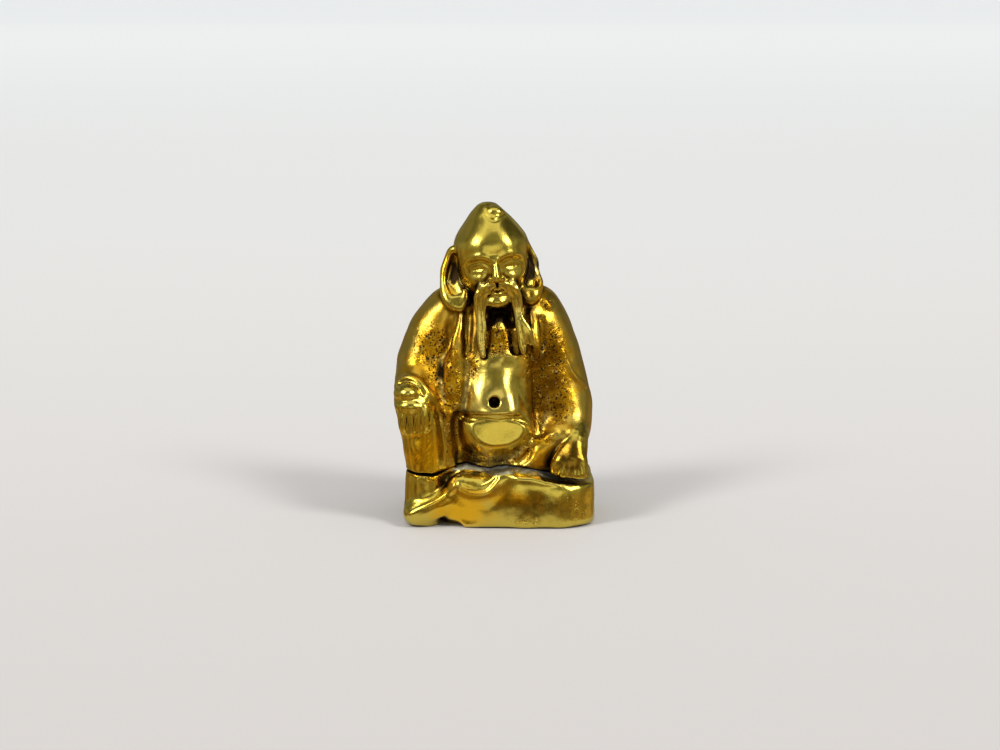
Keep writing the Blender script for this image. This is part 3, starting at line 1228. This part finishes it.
def room_dome(name):
    """The dim, uneven room that only the brass mirrors."""
    mesh = bpy.data.meshes.new(name)
    body = bmesh.new()
    bmesh.ops.create_uvsphere(body, u_segments=32, v_segments=16, radius=ROOM)
    body.to_mesh(mesh)
    body.free()
    material = bpy.data.materials.new(name)
    material.use_nodes = True
    tree = material.node_tree
    tree.nodes.clear()
    cloud = tree.nodes.new("ShaderNodeTexNoise")
    uneven = tree.nodes.new("ShaderNodeMapRange")
    glow = tree.nodes.new("ShaderNodeEmission")
    out = tree.nodes.new("ShaderNodeOutputMaterial")
    place, colour = axis_ramp(tree, "Z", -ROOM, ROOM, ROOM_TONES)
    tree.links.new(colour, glow.inputs["Color"])
    cloud.inputs["Scale"].default_value = ROOM_CLOUDS
    cloud.inputs["Detail"].default_value = 1.0
    tree.links.new(place, cloud.inputs["Vector"])
    for key, number in ROOM_UNEVEN:
        uneven.inputs[key].default_value = number
    tree.links.new(cloud.outputs["Fac"], uneven.inputs["Value"])
    tree.links.new(uneven.outputs["Result"], glow.inputs["Strength"])
    tree.links.new(glow.outputs["Emission"], out.inputs["Surface"])
    material.cycles.emission_sampling = "NONE"
    mesh.materials.append(material)
    dome = placed(name, mesh)
    dome.visible_camera = dome.visible_diffuse = dome.visible_shadow = False


def floor(name, inner, outer_edge, material):
    """A flat ring of paper between two radii."""
    around = [2 * math.pi * n / FLOOR_SIDES for n in range(FLOOR_SIDES)]
    corners = [(r * math.cos(a), r * math.sin(a), 0.0) for r in (inner, outer_edge) for a in around]
    after = [*range(1, FLOOR_SIDES), 0]
    faces = [(n, m, FLOOR_SIDES + m, FLOOR_SIDES + n) for n, m in enumerate(after)]
    mesh = bpy.data.meshes.new(name)
    mesh.from_pydata(corners, [], faces)
    mesh.materials.append(material)
    sheet = placed(name, mesh)
    return sheet


pale = paper("pale_paper")
near_floor = floor("near_floor", FLOOR_MIDDLE, FLOOR_MIRRORED, pale)
far_floor = floor("far_floor", FLOOR_MIRRORED, FLOOR_EDGE, pale)
far_floor.visible_glossy = False
room_dome("room")

LAMPS_AIM = Vector((0, 0, 0.022))


def lamp(name, azimuth, elevation, distance, size, power, on_paper=True, on_brass=True):
    """A soft box that faces the figure. Azimuth 0 is in front, 90 at the figure's left."""
    light = bpy.data.lights.new(name, "AREA")
    light.shape = "RECTANGLE"
    light.size, light.size_y = size
    light.energy = power
    holder = placed(name, light)
    a, e = math.radians(azimuth), math.radians(elevation)
    way = Vector((math.sin(a) * math.cos(e), -math.cos(a) * math.cos(e), math.sin(e)))
    holder.location = LAMPS_AIM + way * distance
    holder.rotation_euler = way.to_track_quat("Z", "Y").to_euler()
    holder.visible_diffuse = on_paper
    holder.visible_glossy = on_brass


for name, azimuth in (("left", -50), ("right", 50)):
    lamp(name + "_box", azimuth, elevation=40, distance=1.2, size=(0.3, 0.4), power=12.0, on_brass=False)
    lamp(name + "_sheen", azimuth, elevation=36, distance=0.5, size=(0.26, 0.40), power=0.2, on_paper=False)
    lamp(name + "_glint", azimuth, elevation=35, distance=0.49, size=(0.19, 0.22), power=1.2, on_paper=False)
lamp("top_box", azimuth=0, elevation=78, distance=0.5, size=(0.4, 0.34), power=0.42)
lamp("front_box", azimuth=0, elevation=20, distance=0.5, size=(0.30, 0.16), power=0.14, on_brass=False)
lamp("front_card", azimuth=0, elevation=8, distance=0.5, size=(0.30, 0.17), power=0.125, on_paper=False)

FILL_COLOUR = (0.97, 0.985, 1, 1)
FILL_STRENGTH = 0.985
world = bpy.data.worlds.new("room")
world.use_nodes = True
backdrop = world.node_tree.nodes["Background"]
backdrop.inputs["Color"].default_value = FILL_COLOUR
backdrop.inputs["Strength"].default_value = FILL_STRENGTH
world.cycles_visibility.glossy = False
bpy.context.scene.world = world

bpy.context.scene.view_settings.view_transform = "Standard"

# Camera at the photograph's angle; it aims at a place of the clay in millimetres.
CAMERA_ELEVATION = math.radians(10)
CAMERA_DISTANCE = 0.35
CAMERA_CLIP = 0.01
SENSOR_WIDTH = 36
LENS = 78.75
AIM = Vector((SHIFT + (0.92, -0.34, 22.66)) * MM)
eye = bpy.data.cameras.new("camera")
eye.sensor_width = SENSOR_WIDTH
eye.lens = LENS
eye.clip_start = CAMERA_CLIP
camera = placed("camera", eye)
camera_way = Vector((0, -math.cos(CAMERA_ELEVATION), math.sin(CAMERA_ELEVATION)))
camera.location = AIM + camera_way * CAMERA_DISTANCE
camera.rotation_euler = camera_way.to_track_quat("Z", "Y").to_euler()
bpy.context.scene.camera = camera
